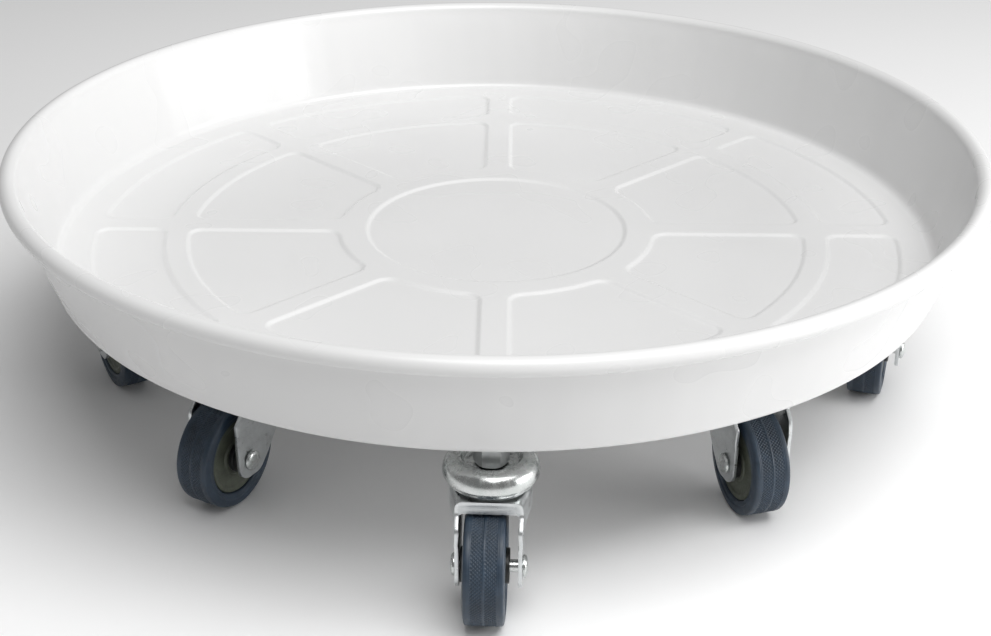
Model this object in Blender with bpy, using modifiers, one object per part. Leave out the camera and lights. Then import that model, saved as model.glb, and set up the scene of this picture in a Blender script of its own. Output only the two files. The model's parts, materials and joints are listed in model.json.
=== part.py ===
"""Plant pot caddy: a round moulded tray on eight free-turning swivel casters.

Everything is in metres, +Z up. The origin is on the ground under the middle of the tray.
"""

import math

import bmesh
import bpy
from mathutils import Matrix, Vector

# Tray
RIM_RADIUS = 0.240
RIM_HEIGHT = 0.1285
BEAD_RADIUS = 0.0042
BEAD_STEPS = 8
NECK_DROP = 0.0048
FLOOR_TOP = 0.0834
FLOOR_UNDERSIDE = 0.0804
WALL_TOP_OUTER = 0.2330
WALL_THICKNESS = 0.0022
FLOOR_OUTER = 0.2205
WALL_BULGE = 0.0008
WALL_SHARES = (0.0, 0.5, 1.0)
BOTTOM_EDGE_RADIUS = 0.0045
INNER_EDGE_RADIUS = 0.0030
TRAY_STEPS = 48

# Recessed panels between the ribs of the tray floor
PANEL_DEPTH = 0.0012
RIB_HALF_WIDTH = 0.0065
CENTRE_DISC_RADIUS = 0.0658
INNER_PANEL_RADII = (0.0794, 0.1553)
OUTER_PANEL_RADII = (0.1662, 0.2016)
PANEL_ARC_STEPS = 4
DISC_SIDES = 24

# Bosses under the floor that the caster stems screw into
BOSS_RADIUS = 0.0065
BOSS_LENGTH = 0.0048
BOSS_SIDES = 16
BOSS_BORE_RADIUS = 0.0044
BOSS_BORE_END = 0.0812
BOSS_ROOT = 0.0010

# Casters: every second one sits further in, where its spoke crosses the ring rib.
# The trail angles are the directions in which the wheels trail at rest.
CASTER_COUNT = 8
SWIVEL_RADII = (0.1995, 0.1612)
FIRST_CASTER_ANGLE = -90.0
TRAIL_ANGLES = (-92.0, -72.5, -107.0, -84.0, -101.0, -70.0, -59.0, -119.2)

# Wheel
WHEEL_RADIUS = 0.025
TYRE_WIDTH = 0.0174
TYRE_SHOULDER = 0.0030
TYRE_LIP = 0.0012
TYRE_BORE_RADIUS = 0.0182
HUB_RADIUS = 0.0178
HUB_WIDTH = 0.0140
BUSHING_RADIUS = 0.0074
BUSHING_REACH = (0.0104, 0.0099)
HUB_BORE_RADIUS = 0.0032
WHEEL_OFFSET = -0.0014
TYRE_STEPS = 24
HUB_STEPS = 16
TRAIL = 0.0155

# Axle, a pin with a domed head on each end
AXLE_RADIUS = 0.0027
AXLE_HEAD_RADIUS = 0.0048
AXLE_HEAD_DEPTH = 0.0020
AXLE_HEAD_EDGE = 0.0008
AXLE_CROWN_RADIUS = 0.0026
AXLE_STEPS = 10

# Fork, folded from sheet. Its arms stand wide apart over the swivel and close in towards the front.
SHEET = 0.0016
ARM_GAP_TOP = 0.0308
ARM_GAP_FOOT = 0.0242
ARM_FOOT_RADIUS = 0.0083
FORK_TOP = 0.0572
FORK_CORNER = 0.0030
JOGGLE_TOP = 0.0465
JOGGLE_FOOT = 0.0385
PLATE_REAR = -0.0185
PLATE_FRONT = 0.0190
CHANNEL_END = 0.0300
TAPER_START = 0.0050
FRONT_INSET = 0.0031
APRON_HEIGHT = 0.0054
TRAILING_EDGE = ((0.0089, 0.0110), (0.0087, 0.0200), (0.0060, 0.0250))
LEADING_EDGE = ((-0.0200, 0.0075), (-0.0135, -0.0010))
CUT_CLEARANCE = 0.0050
KINGPIN_HOLE_RADIUS = 0.0046
AXLE_HOLE_RADIUS = 0.0031
HOLE_SIDES = 12

# Dome over the ball race
DOME_TOP = 0.0690
DOME_TOP_RADIUS = 0.0138
DOME_RADIUS = 0.0202
DOME_RING_HEIGHT = 0.0620
DOME_FOOT = 0.0588
DOME_FOOT_RADIUS = 0.0190
DOME_WALL = 0.0016
DOME_STEPS = 16

# Stem and its nut
STEM_RADIUS = 0.0040
STEM_HEAD_RADIUS = 0.0062
STEM_HEAD_DEPTH = 0.0020
STEM_CHAMFER = 0.0008
STEM_STEPS = 12
NUT_ACROSS_FLATS = 0.0130
NUT_HEIGHT = 0.0060
NUT_SIDES = 6

GAP = 0.0003
TOLERANCE = 0.0001


def clear_scene():
    for obj in list(bpy.data.objects):
        bpy.data.objects.remove(obj, do_unlink=True)


def make_collection(name):
    collection = bpy.data.collections.new(name)
    bpy.context.scene.collection.children.link(collection)
    return collection


def make_material(name, colour, roughness, metallic):
    material = bpy.data.materials.new(name)
    material.use_nodes = True
    shader = material.node_tree.nodes["Principled BSDF"]
    shader.inputs["Base Color"].default_value = (*colour, 1.0)
    shader.inputs["Roughness"].default_value = roughness
    shader.inputs["Metallic"].default_value = metallic
    return material


def link_object(name, mesh, collection):
    obj = bpy.data.objects.new(name, mesh)
    collection.objects.link(obj)
    return obj


def evaluated_mesh(obj):
    """A new mesh of the object with its modifiers applied and its loose caps welded."""
    graph = bpy.context.evaluated_depsgraph_get()
    mesh = bpy.data.meshes.new_from_object(obj.evaluated_get(graph))
    shape = bmesh.new()
    shape.from_mesh(mesh)
    bmesh.ops.remove_doubles(shape, verts=shape.verts, dist=1e-6)
    bmesh.ops.recalc_face_normals(shape, faces=shape.faces)
    shape.to_mesh(mesh)
    shape.free()
    return mesh


def baked(obj, name, collection):
    """The object as a plain mesh in its place, with the original removed."""
    bpy.context.view_layer.update()
    result = link_object(name, evaluated_mesh(obj), collection)
    result.matrix_world = obj.matrix_world.copy()
    bpy.data.objects.remove(obj, do_unlink=True)
    return result


def smooth_by_angle(mesh, degrees=35.0):
    mesh.shade_smooth()
    mesh.set_sharp_from_angle(angle=math.radians(degrees))


def turned(name, profile, steps, collection):
    """A body turned about Z from a closed profile of (radius, height) points, outer side downwards."""
    mesh = bpy.data.meshes.new(name)
    points = [(radius, 0.0, height) for radius, height in profile]
    count = len(points)
    edges = [(index, (index + 1) % count) for index in range(count)]
    mesh.from_pydata(points, edges, [])
    obj = link_object(name, mesh, collection)
    screw = obj.modifiers.new("Screw", "SCREW")
    screw.steps = steps
    screw.render_steps = steps
    screw.use_merge_vertices = True
    screw.merge_threshold = 0.00001
    return baked(obj, name, collection)


def extruded(name, outlines, depth, collection):
    """A flat plate whose closed outlines of (x, y) points are extruded along Z, centred on z = 0."""
    curve = bpy.data.curves.new(name, "CURVE")
    curve.dimensions = "2D"
    curve.fill_mode = "BOTH"
    curve.extrude = depth / 2.0
    for outline in outlines:
        spline = curve.splines.new("POLY")
        spline.points.add(len(outline) - 1)
        for point, (x, y) in zip(spline.points, outline):
            point.co = (x, y, 0.0, 1.0)
        spline.use_cyclic_u = True
    return baked(link_object(name, curve, collection), name, collection)


def cylinder(name, radius, depth, sides, collection):
    mesh = bpy.data.meshes.new(name)
    shape = bmesh.new()
    bmesh.ops.create_cone(
        shape,
        cap_ends=True,
        segments=sides,
        radius1=radius,
        radius2=radius,
        depth=depth,
    )
    shape.to_mesh(mesh)
    shape.free()
    return link_object(name, mesh, collection)


def box(name, low, high, collection):
    mesh = bpy.data.meshes.new(name)
    shape = bmesh.new()
    bmesh.ops.create_cube(shape, size=1.0)
    low, high = Vector(low), Vector(high)
    bmesh.ops.scale(shape, vec=high - low, verts=shape.verts)
    bmesh.ops.translate(shape, vec=(low + high) / 2.0, verts=shape.verts)
    shape.to_mesh(mesh)
    shape.free()
    return link_object(name, mesh, collection)


def hide_cutter(obj):
    obj.hide_render = True
    obj.display_type = "WIRE"


def combine(target, tool, operation):
    """Applies one exact Boolean to the target and keeps the tool out of the render."""
    hide_cutter(tool)
    boolean = target.modifiers.new(operation.title(), "BOOLEAN")
    boolean.operation = operation
    boolean.solver = "EXACT"
    boolean.object = tool


def arc(centre, radius, start, end, steps):
    """Points along an arc from start to end in degrees, both ends included."""
    points = []
    for index in range(steps + 1):
        angle = math.radians(start + (end - start) * index / steps)
        points.append((centre[0] + radius * math.cos(angle), centre[1] + radius * math.sin(angle)))
    return points


def polygon(radius, sides):
    """The corners of a regular polygon about the origin, the first one on +X."""
    return arc((0.0, 0.0), radius, 0.0, 360.0 * (sides - 1) / sides, sides - 1)


def tray_profile():
    """The tray's section: over the bead, down the outer wall, in along the underside, back up inside."""
    bead_centre = (RIM_RADIUS - BEAD_RADIUS, RIM_HEIGHT)
    bead = arc(bead_centre, BEAD_RADIUS, 180.0, -60.0, BEAD_STEPS)
    outer_wall = []
    wall_foot = FLOOR_UNDERSIDE + BOTTOM_EDGE_RADIUS
    wall_head = RIM_HEIGHT - NECK_DROP
    for share in WALL_SHARES:
        height = wall_head + (wall_foot - wall_head) * share
        radius = WALL_TOP_OUTER + (FLOOR_OUTER - WALL_TOP_OUTER) * share
        outer_wall.append((radius + 4.0 * WALL_BULGE * share * (1.0 - share), height))
    edge_centre = (FLOOR_OUTER - BOTTOM_EDGE_RADIUS, wall_foot)
    bottom_edge = arc(edge_centre, BOTTOM_EDGE_RADIUS, -20.0, -90.0, 2)
    inner_foot = FLOOR_OUTER - WALL_THICKNESS
    inner_centre = (inner_foot - INNER_EDGE_RADIUS, FLOOR_TOP + INNER_EDGE_RADIUS)
    inner_edge = arc(inner_centre, INNER_EDGE_RADIUS, -90.0, 0.0, 2)
    underside_centre = [(0.0, FLOOR_UNDERSIDE), (0.0, FLOOR_TOP)]
    return bead + outer_wall + bottom_edge + underside_centre + inner_edge


def panel_outline(inner_radius, outer_radius, middle_angle):
    """A sector between two spokes, whose straight sides run parallel to the spokes."""
    half_pitch = 180.0 / CASTER_COUNT
    outline = []
    for radius, direction in ((inner_radius, 1.0), (outer_radius, -1.0)):
        half_angle = half_pitch - math.degrees(math.asin(RIB_HALF_WIDTH / radius))
        start = middle_angle - direction * half_angle
        end = middle_angle + direction * half_angle
        outline += arc((0.0, 0.0), radius, start, end, PANEL_ARC_STEPS)
    return outline


def panel_cutter(collection):
    pitch = 360.0 / CASTER_COUNT
    outlines = [polygon(CENTRE_DISC_RADIUS, DISC_SIDES)]
    for inner_radius, outer_radius in (INNER_PANEL_RADII, OUTER_PANEL_RADII):
        for index in range(CASTER_COUNT):
            outlines.append(panel_outline(inner_radius, outer_radius, (index + 0.5) * pitch))
    cutter = extruded("panel_cutter", outlines, 2.0 * PANEL_DEPTH, collection)
    cutter.location = (0.0, 0.0, FLOOR_TOP)
    return cutter


def swivel_place(index):
    angle = math.radians(FIRST_CASTER_ANGLE + index * 360.0 / CASTER_COUNT)
    radius = SWIVEL_RADII[index % len(SWIVEL_RADII)]
    return Vector((radius * math.cos(angle), radius * math.sin(angle), 0.0))


def make_tray(parts, cutters, material):
    tray = turned("tray", tray_profile(), TRAY_STEPS, parts)
    combine(tray, panel_cutter(cutters), "DIFFERENCE")
    boss_depth = BOSS_LENGTH + BOSS_ROOT
    for index in range(CASTER_COUNT):
        place = swivel_place(index)
        boss = cylinder(f"boss_{index + 1}", BOSS_RADIUS, boss_depth, BOSS_SIDES, cutters)
        boss.location = place + Vector((0.0, 0.0, FLOOR_UNDERSIDE + BOSS_ROOT - boss_depth / 2.0))
        combine(tray, boss, "UNION")
        bore = cylinder(f"boss_bore_{index + 1}", BOSS_BORE_RADIUS, 2.0 * BOSS_LENGTH, HOLE_SIDES, cutters)
        bore.location = place + Vector((0.0, 0.0, BOSS_BORE_END - BOSS_LENGTH))
        combine(tray, bore, "DIFFERENCE")
    finished = baked(tray, "tray", parts)
    finished.name = "tray"
    smooth_by_angle(finished.data)
    finished.data.materials.append(material)


def dome_mesh(cutters):
    """A pressed cup, open underneath, with a hole for the stem in its flat top."""
    shoulder = DOME_RADIUS - DOME_TOP_RADIUS
    rise = DOME_TOP - DOME_RING_HEIGHT
    outer = []
    for degrees in (90.0, 45.0, 0.0):
        angle = math.radians(degrees)
        outer.append((DOME_TOP_RADIUS + shoulder * math.cos(angle), DOME_RING_HEIGHT + rise * math.sin(angle)))
    foot = [(DOME_FOOT_RADIUS, DOME_FOOT), (DOME_FOOT_RADIUS - DOME_WALL, DOME_FOOT)]
    inner = []
    for degrees in (0.0, 50.0, 90.0):
        angle = math.radians(degrees)
        radius = DOME_TOP_RADIUS + (shoulder - DOME_WALL) * math.cos(angle)
        inner.append((radius, DOME_RING_HEIGHT + (rise - DOME_WALL) * math.sin(angle)))
    hole = STEM_RADIUS + GAP
    top = [(hole, DOME_TOP - DOME_WALL), (hole, DOME_TOP)]
    dome = turned("dome_shape", outer + foot + inner + top, DOME_STEPS, cutters)
    return taken_mesh(dome)


def taken_mesh(obj):
    mesh = obj.data
    bpy.data.objects.remove(obj, do_unlink=True)
    smooth_by_angle(mesh)
    return mesh


def stem_mesh(cutters):
    """The kingpin and threaded stem in one, riveted over under the fork."""
    top = BOSS_BORE_END - GAP
    plate_underside = FORK_TOP - SHEET
    head_top = plate_underside - GAP
    head_foot = head_top - STEM_HEAD_DEPTH
    profile = [
        (0.0, top),
        (STEM_RADIUS - STEM_CHAMFER, top),
        (STEM_RADIUS, top - STEM_CHAMFER),
        (STEM_RADIUS, head_top),
        (STEM_HEAD_RADIUS, head_top),
        (STEM_HEAD_RADIUS - STEM_CHAMFER, head_foot),
        (0.0, head_foot),
    ]
    return taken_mesh(turned("stem_shape", profile, STEM_STEPS, cutters))


def nut_mesh(cutters):
    corner_radius = NUT_ACROSS_FLATS / 2.0 / math.cos(math.pi / NUT_SIDES)
    outline = polygon(corner_radius, NUT_SIDES)
    hole = polygon(STEM_RADIUS + GAP, HOLE_SIDES)
    nut = extruded("nut_shape", [outline, hole], NUT_HEIGHT, cutters)
    nut.data.transform(Matrix.Translation((0.0, 0.0, DOME_TOP + GAP + NUT_HEIGHT / 2.0)))
    return taken_mesh(nut)


def sheet_section():
    """Half of the fork's folded sheet seen from the front, outer side, from the middle to the foot."""
    outer_top = ARM_GAP_TOP / 2.0 + SHEET
    outer_foot = ARM_GAP_FOOT / 2.0 + SHEET
    foot = WHEEL_RADIUS - ARM_FOOT_RADIUS
    corner = arc((outer_top - FORK_CORNER, FORK_TOP - FORK_CORNER), FORK_CORNER, 90.0, 0.0, 2)
    outer = [(0.0, FORK_TOP)] + corner
    outer += [(outer_top, JOGGLE_TOP), (outer_foot, JOGGLE_FOOT), (outer_foot, foot)]
    inner_radius = FORK_CORNER - SHEET
    inner_corner = arc((outer_top - FORK_CORNER, FORK_TOP - FORK_CORNER), inner_radius, 0.0, 90.0, 1)
    inner = [(outer_foot - SHEET, foot), (outer_foot - SHEET, JOGGLE_FOOT), (outer_top - SHEET, JOGGLE_TOP)]
    inner += inner_corner
    inner += [(0.0, FORK_TOP - SHEET)]
    return outer, inner


def across_x(mesh):
    """Turns a plate drawn in XY so that its outline lies across X, with the outline's y upwards."""
    mesh.transform(Matrix(((0, 0, 1, 0), (1, 0, 0, 0), (0, 1, 0, 0), (0, 0, 0, 1))))


def across_y(mesh):
    """Turns a plate drawn in XY so that its outline lies across Y, with the outline's y upwards."""
    mesh.transform(Matrix(((1, 0, 0, 0), (0, 0, -1, 0), (0, 1, 0, 0), (0, 0, 0, 1))))


def taper_front(mesh):
    """Draws the channel's wide part in, from over the swivel to the front."""
    shape = bmesh.new()
    shape.from_mesh(mesh)
    for cut in (TAPER_START, PLATE_FRONT):
        geometry = shape.verts[:] + shape.edges[:] + shape.faces[:]
        bmesh.ops.bisect_plane(shape, geom=geometry, plane_co=(cut, 0.0, 0.0), plane_no=(1.0, 0.0, 0.0))
    middle = (JOGGLE_TOP + JOGGLE_FOOT) / 2.0
    corner_start = ARM_GAP_TOP / 2.0 + SHEET - FORK_CORNER - TOLERANCE
    for vertex in shape.verts:
        share = (vertex.co.x - TAPER_START) / (PLATE_FRONT - TAPER_START)
        if share > 0.0 and vertex.co.z > middle and abs(vertex.co.y) > corner_start:
            vertex.co.y -= math.copysign(FRONT_INSET * min(share, 1.0), vertex.co.y)
    shape.to_mesh(mesh)
    shape.free()


def fork_channel(cutters):
    """The folded sheet as a channel along X, longer than the fork, for the side outline to trim."""
    outer, inner = sheet_section()
    mirrored_outer = [(-across, height) for across, height in reversed(outer[1:])]
    mirrored_inner = [(-across, height) for across, height in reversed(inner[:-1])]
    outline = outer + inner[:-1] + mirrored_inner + mirrored_outer
    channel = extruded("fork_channel", [outline], 2.0 * CHANNEL_END, cutters)
    across_x(channel.data)
    taper_front(channel.data)
    return channel


def fork_side_outline():
    """The fork seen from its side: a plate over the swivel, and arms narrowing to the axle."""
    foot = arc((TRAIL, WHEEL_RADIUS), ARM_FOOT_RADIUS, -140.0, 0.0, 6)
    trailing = [(TRAIL + along, WHEEL_RADIUS + up) for along, up in TRAILING_EDGE]
    leading = [(TRAIL + along, WHEEL_RADIUS + up) for along, up in LEADING_EDGE]
    above = FORK_TOP + CUT_CLEARANCE
    rear_edge = FORK_TOP - SHEET - FORK_CORNER
    top = [(PLATE_FRONT, above), (PLATE_REAR, above), (PLATE_REAR, rear_edge)]
    return foot + trailing + top + leading


def fork_apron(cutters):
    """The lip that closes the front of the fork between its arms."""
    half_width = ARM_GAP_TOP / 2.0 - FRONT_INSET + SHEET / 2.0
    low = (PLATE_FRONT - SHEET, -half_width, FORK_TOP - APRON_HEIGHT)
    high = (PLATE_FRONT, half_width, FORK_TOP - SHEET / 2.0)
    return box("fork_apron", low, high, cutters)


def fork_mesh(cutters):
    fork = fork_channel(cutters)
    side = extruded("fork_side", [fork_side_outline()], 2.0 * ARM_GAP_TOP, cutters)
    across_y(side.data)
    combine(fork, side, "INTERSECT")
    combine(fork, fork_apron(cutters), "UNION")
    kingpin_hole = cylinder("kingpin_hole", KINGPIN_HOLE_RADIUS, 2.0 * CUT_CLEARANCE, HOLE_SIDES, cutters)
    kingpin_hole.location = (0.0, 0.0, FORK_TOP)
    combine(fork, kingpin_hole, "DIFFERENCE")
    axle_hole = cylinder("axle_hole", AXLE_HOLE_RADIUS, 2.0 * ARM_GAP_TOP, HOLE_SIDES, cutters)
    axle_hole.rotation_euler = (math.radians(90.0), 0.0, 0.0)
    axle_hole.location = (TRAIL, 0.0, WHEEL_RADIUS)
    combine(fork, axle_hole, "DIFFERENCE")
    return taken_mesh(baked(fork, "fork_shape", cutters))


def lying_along_y(mesh):
    """Turns a body made about Z so that its axis is +Y and its profile's start points straight down."""
    mesh.transform(Matrix.Rotation(math.radians(-90.0), 4, "X") @ Matrix.Rotation(math.radians(90.0), 4, "Z"))
    return mesh


def tyre_mesh(cutters):
    half = TYRE_WIDTH / 2.0
    flank_radius = WHEEL_RADIUS - TYRE_SHOULDER
    crown = half - TYRE_SHOULDER
    profile = [
        (TYRE_BORE_RADIUS, half - TYRE_LIP),
        (flank_radius, half),
        (WHEEL_RADIUS, crown),
        (WHEEL_RADIUS, -crown),
        (flank_radius, -half),
        (TYRE_BORE_RADIUS, -half + TYRE_LIP),
    ]
    return lying_along_y(taken_mesh(turned("tyre_shape", profile, TYRE_STEPS, cutters)))


def hub_mesh(cutters):
    half = HUB_WIDTH / 2.0
    left, right = BUSHING_REACH
    profile = [
        (HUB_BORE_RADIUS, right),
        (BUSHING_RADIUS, right),
        (BUSHING_RADIUS, half),
        (HUB_RADIUS, half),
        (HUB_RADIUS, -half),
        (BUSHING_RADIUS, -half),
        (BUSHING_RADIUS, -left),
        (HUB_BORE_RADIUS, -left),
    ]
    return lying_along_y(taken_mesh(turned("hub_shape", profile, HUB_STEPS, cutters)))


def axle_mesh(cutters):
    """A pin with a domed head outside each fork arm."""
    seat = ARM_GAP_FOOT / 2.0 + SHEET + GAP
    end = seat + AXLE_HEAD_DEPTH
    top = [
        (0.0, end),
        (AXLE_CROWN_RADIUS, end),
        (AXLE_HEAD_RADIUS, seat + AXLE_HEAD_EDGE),
        (AXLE_HEAD_RADIUS, seat),
        (AXLE_RADIUS, seat),
    ]
    profile = top + [(radius, -height) for radius, height in reversed(top)]
    return lying_along_y(taken_mesh(turned("axle_shape", profile, AXLE_STEPS, cutters)))


def empty(name, location, parent, collection):
    marker = bpy.data.objects.new(name, None)
    collection.objects.link(marker)
    marker.location = location
    marker.parent = parent
    return marker


def place_part(name, mesh, parent, collection, material):
    part = link_object(name, mesh.copy(), collection)
    part.data.materials.append(material)
    part.parent = parent
    return part


def make_caster(index, meshes, materials, parts):
    """One caster: its stem, nut and dome are fixed to the tray, and its fork and wheel each turn."""
    number = index + 1
    mount = empty(f"mount_{number}", swivel_place(index), None, parts)
    for name in ("stem", "lock_nut", "dome"):
        place_part(f"{name}_{number}", meshes[name], mount, parts, materials[name])
    swivel = empty(f"swivel_{number}", (0.0, 0.0, 0.0), mount, parts)
    swivel.rotation_euler = (0.0, 0.0, math.radians(TRAIL_ANGLES[index]))
    place_part(f"fork_{number}", meshes["fork"], swivel, parts, materials["fork"])
    hub_centre = empty(f"axle_line_{number}", (TRAIL, 0.0, WHEEL_RADIUS), swivel, parts)
    place_part(f"axle_{number}", meshes["axle"], hub_centre, parts, materials["axle"])
    for name in ("hub", "tyre"):
        wheel_part = place_part(f"{name}_{number}", meshes[name], hub_centre, parts, materials[name])
        wheel_part.location = (0.0, WHEEL_OFFSET, 0.0)


def make_materials():
    zinc = (0.62, 0.64, 0.65)
    return {
        "tray": make_material("tray_plastic", (0.86, 0.86, 0.86), 0.35, 0.0),
        "stem": make_material("stem_steel", zinc, 0.35, 1.0),
        "lock_nut": make_material("nut_steel", zinc, 0.30, 1.0),
        "dome": make_material("dome_steel", (0.70, 0.71, 0.72), 0.18, 1.0),
        "fork": make_material("fork_steel", zinc, 0.32, 1.0),
        "axle": make_material("axle_steel", (0.70, 0.71, 0.72), 0.22, 1.0),
        "hub": make_material("hub_plastic", (0.085, 0.095, 0.075), 0.50, 0.0),
        "tyre": make_material("tyre_rubber", (0.045, 0.065, 0.095), 0.55, 0.0),
    }


def main():
    clear_scene()
    parts = make_collection("plant_pot_caddy")
    cutters = make_collection("cutters")
    materials = make_materials()
    make_tray(parts, cutters, materials["tray"])
    meshes = {
        "stem": stem_mesh(cutters),
        "lock_nut": nut_mesh(cutters),
        "dome": dome_mesh(cutters),
        "fork": fork_mesh(cutters),
        "axle": axle_mesh(cutters),
        "hub": hub_mesh(cutters),
        "tyre": tyre_mesh(cutters),
    }
    for index in range(CASTER_COUNT):
        make_caster(index, meshes, materials, parts)


main()
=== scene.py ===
"""The looks of a plant pot caddy: a white moulded tray on eight swivel casters, over its CAD frame."""

import json
import math

import bmesh
import bpy
import numpy as np
from mathutils import Matrix, Vector


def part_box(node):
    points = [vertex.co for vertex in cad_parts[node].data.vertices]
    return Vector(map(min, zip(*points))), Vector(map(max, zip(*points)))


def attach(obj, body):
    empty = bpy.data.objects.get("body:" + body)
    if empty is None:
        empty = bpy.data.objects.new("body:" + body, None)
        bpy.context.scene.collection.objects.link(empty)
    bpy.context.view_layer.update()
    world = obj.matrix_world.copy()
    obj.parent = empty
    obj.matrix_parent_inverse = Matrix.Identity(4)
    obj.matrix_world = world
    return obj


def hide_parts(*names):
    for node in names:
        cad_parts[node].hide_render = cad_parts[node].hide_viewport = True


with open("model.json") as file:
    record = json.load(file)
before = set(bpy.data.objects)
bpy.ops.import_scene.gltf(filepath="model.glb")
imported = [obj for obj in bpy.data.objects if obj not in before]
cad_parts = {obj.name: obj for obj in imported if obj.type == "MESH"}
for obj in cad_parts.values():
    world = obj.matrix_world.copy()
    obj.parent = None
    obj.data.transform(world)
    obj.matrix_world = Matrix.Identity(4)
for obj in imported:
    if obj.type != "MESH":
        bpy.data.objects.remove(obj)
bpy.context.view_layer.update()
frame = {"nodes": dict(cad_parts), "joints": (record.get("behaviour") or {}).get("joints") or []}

MM = 0.001
WELD_DISTANCE = 1e-7
CASTER_COUNT = sum(1 for name in frame["nodes"] if name.startswith("dome_"))

# Camera, for the 991 x 636 frame
CAMERA_PLACE = (0.0056, -0.7885, 0.4244)
CAMERA_DOWN = 26.51
CAMERA_YAW = 0.42
CAMERA_ROLL = 0.39
CAMERA_LENS = 61.15
SENSOR_WIDTH = 36.0

# Tray details, in millimetres
WALL = 2.2
WALL_BULGE = 0.8
WALL_SPACING = 2.2
FLOOR_THICKNESS = 3.0
FLOOR_EDGE = 215.2
FLOOR_CORNER = 3.4
FOOT_RADIUS = 220.5
FOOT_ROUND = 4.4
UNDERSIDE_FADE = (212.0, 3.0)
RIB_HEIGHT = 1.05
RIB_HALF_WIDTH = 6.5
RIB_FLANK = 2.8
PANEL_CORNER = 7.0
CENTRE_DISC_RADIUS = 65.8
INNER_PANEL_RADII = (79.4, 155.3)
OUTER_PANEL_RADII = (166.2, 201.6)
BEAD = 4.2
BEAD_ARC = (176.0, -105.0)
BOSS_RADIUS = 6.5
BOSS_FLARE = 2.4
BOSS_BORE = 4.4

# Dome, nut, kingpin, pin and race, in millimetres. The nut reaches down into the dish, below its CAD node.
DOME_WALL = 1.4
DOME_SHOULDER = 7.0
DOME_CROWN_RADIUS = 14.2
DOME_BORE = 4.4
DISH_DEPTH = 4.0
NUT_SINK = 3.8
NUT_CHAMFER = 1.0
NUT_HOLE = 4.2
NUT_COUNTERSINK = 5.9
SHANK_RADIUS = 3.9
THREAD_RADIUS = 3.95
THREAD_PITCH = 1.25
THREAD_DEPTH = 0.62
THREAD_STEP = 0.14
RIVET_RADIUS = 6.2
PIN_RADIUS = 2.7
PIN_HEAD_DEPTH = 2.0
PIN_FLAT_RADIUS = 1.6
BALL_COUNT = 18
BALL_RADIUS = 1.45
BALL_CIRCLE = 14.2
CAGE_RADII = (12.6, 15.9)
CAGE_HEIGHT = 1.3

# Fork details, in millimetres. Its arms stand wide apart over the swivel and close in towards the front.
SHEET = 1.6
ARM_TOP = 17.0
ARM_FOOT = 13.7
ARM_FOOT_RADIUS = 8.3
FRONT_INSET = 3.1
TAPER_START = 3.0
JOGGLE_HEIGHT = 17.5
JOGGLE_REACH = 4.0
PLATE_FRONT = 19.0
LIP_HEIGHT = 5.2
CHANNEL_LENGTH = 70.0
FORK_WIDTH = 60.0
KINGPIN_HOLE = 4.6
PIN_HOLE = 3.0
FORK_EDGE = 0.35

# Wheel details, in millimetres
TREAD_COUNT = 96
TREAD_PITCH = 1.64
TREAD_DEPTH = 0.45
TREAD_INNER = 0.35
TREAD_OUTER = 5.6
TREAD_SHOULDER = 2.3
TREAD_CROWN = 0.10
SEAM_HEIGHT = 0.10
SEAM_WIDTH = 0.15
TYRE_BORE = 18.15
HUB_BORE = 3.3
HUB_RIM = 17.9
BUSHING_RADII = (3.1, 7.4)
BUSHING_STARTS = (5.4, -8.2)
WHEEL_TURN = 37.0

# Studio
WORLD_STRENGTH = 0.22
FLOOR_REACH = 6.0
FLOOR_DROP = 0.0002
LIGHT_TARGET = (0.0, 0.0, 0.08)


# ---------------------------------------------------------------- measuring the frame


def joint(name):
    return next(entry for entry in frame["joints"] if entry["name"] == name)


def node_points(name):
    return np.array([vertex.co for vertex in frame["nodes"][name].data.vertices], float)


def reach(name, origin, direction):
    """The node's lowest and highest distance from the origin along a direction, in millimetres."""
    along = (node_points(name) - np.array(origin)) @ np.array(direction) / MM
    return along.min(), along.max()


def radius_about(name, origin):
    """The node's largest distance from the vertical line through the origin, in millimetres."""
    flat = node_points(name)[:, :2] - np.array(origin)[:2]
    return np.linalg.norm(flat, axis=1).max() / MM


def caster_frame(number):
    """The swivel's place on the ground, and the directions of the trail and of the axle."""
    swivel = Vector(joint(f"swivel_{number}")["pos_m"])
    spin = joint(f"wheel_spin_{number}")
    axle = Vector(spin["axis"]).normalized()
    trail = Vector((axle.y, -axle.x, 0.0))
    return Vector((swivel.x, swivel.y, 0.0)), trail, axle, Vector(spin["pos_m"])


# ---------------------------------------------------------------- mesh helpers


def rounded(corners, step=12.0):
    """An outline through (x, y, fillet radius) corners, with each corner replaced by an arc."""
    points = []
    count = len(corners)
    for index, (x, y, radius) in enumerate(corners):
        here = Vector((x, y))
        before = Vector(corners[index - 1][:2]) - here
        after = Vector(corners[(index + 1) % count][:2]) - here
        turn = math.pi - before.angle(after) if before.length and after.length else 0.0
        if radius <= 0.0 or turn < 0.02:
            points.append((x, y))
            continue
        inset = min(radius * math.tan(turn / 2.0), 0.49 * before.length, 0.49 * after.length)
        radius = inset / math.tan(turn / 2.0)
        start = here + before.normalized() * inset
        end = here + after.normalized() * inset
        middle = (start + end) / 2.0 - here
        centre = here + middle.normalized() * math.hypot(radius, inset)
        pieces = max(2, round(math.degrees(turn) / step))
        first = start - centre
        sign = 1.0 if first.x * (end - centre).y - first.y * (end - centre).x > 0 else -1.0
        for piece in range(pieces + 1):
            angle = sign * turn * piece / pieces
            spun = Matrix.Rotation(angle, 2) @ first
            points.append((centre.x + spun.x, centre.y + spun.y))
    return points


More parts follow.
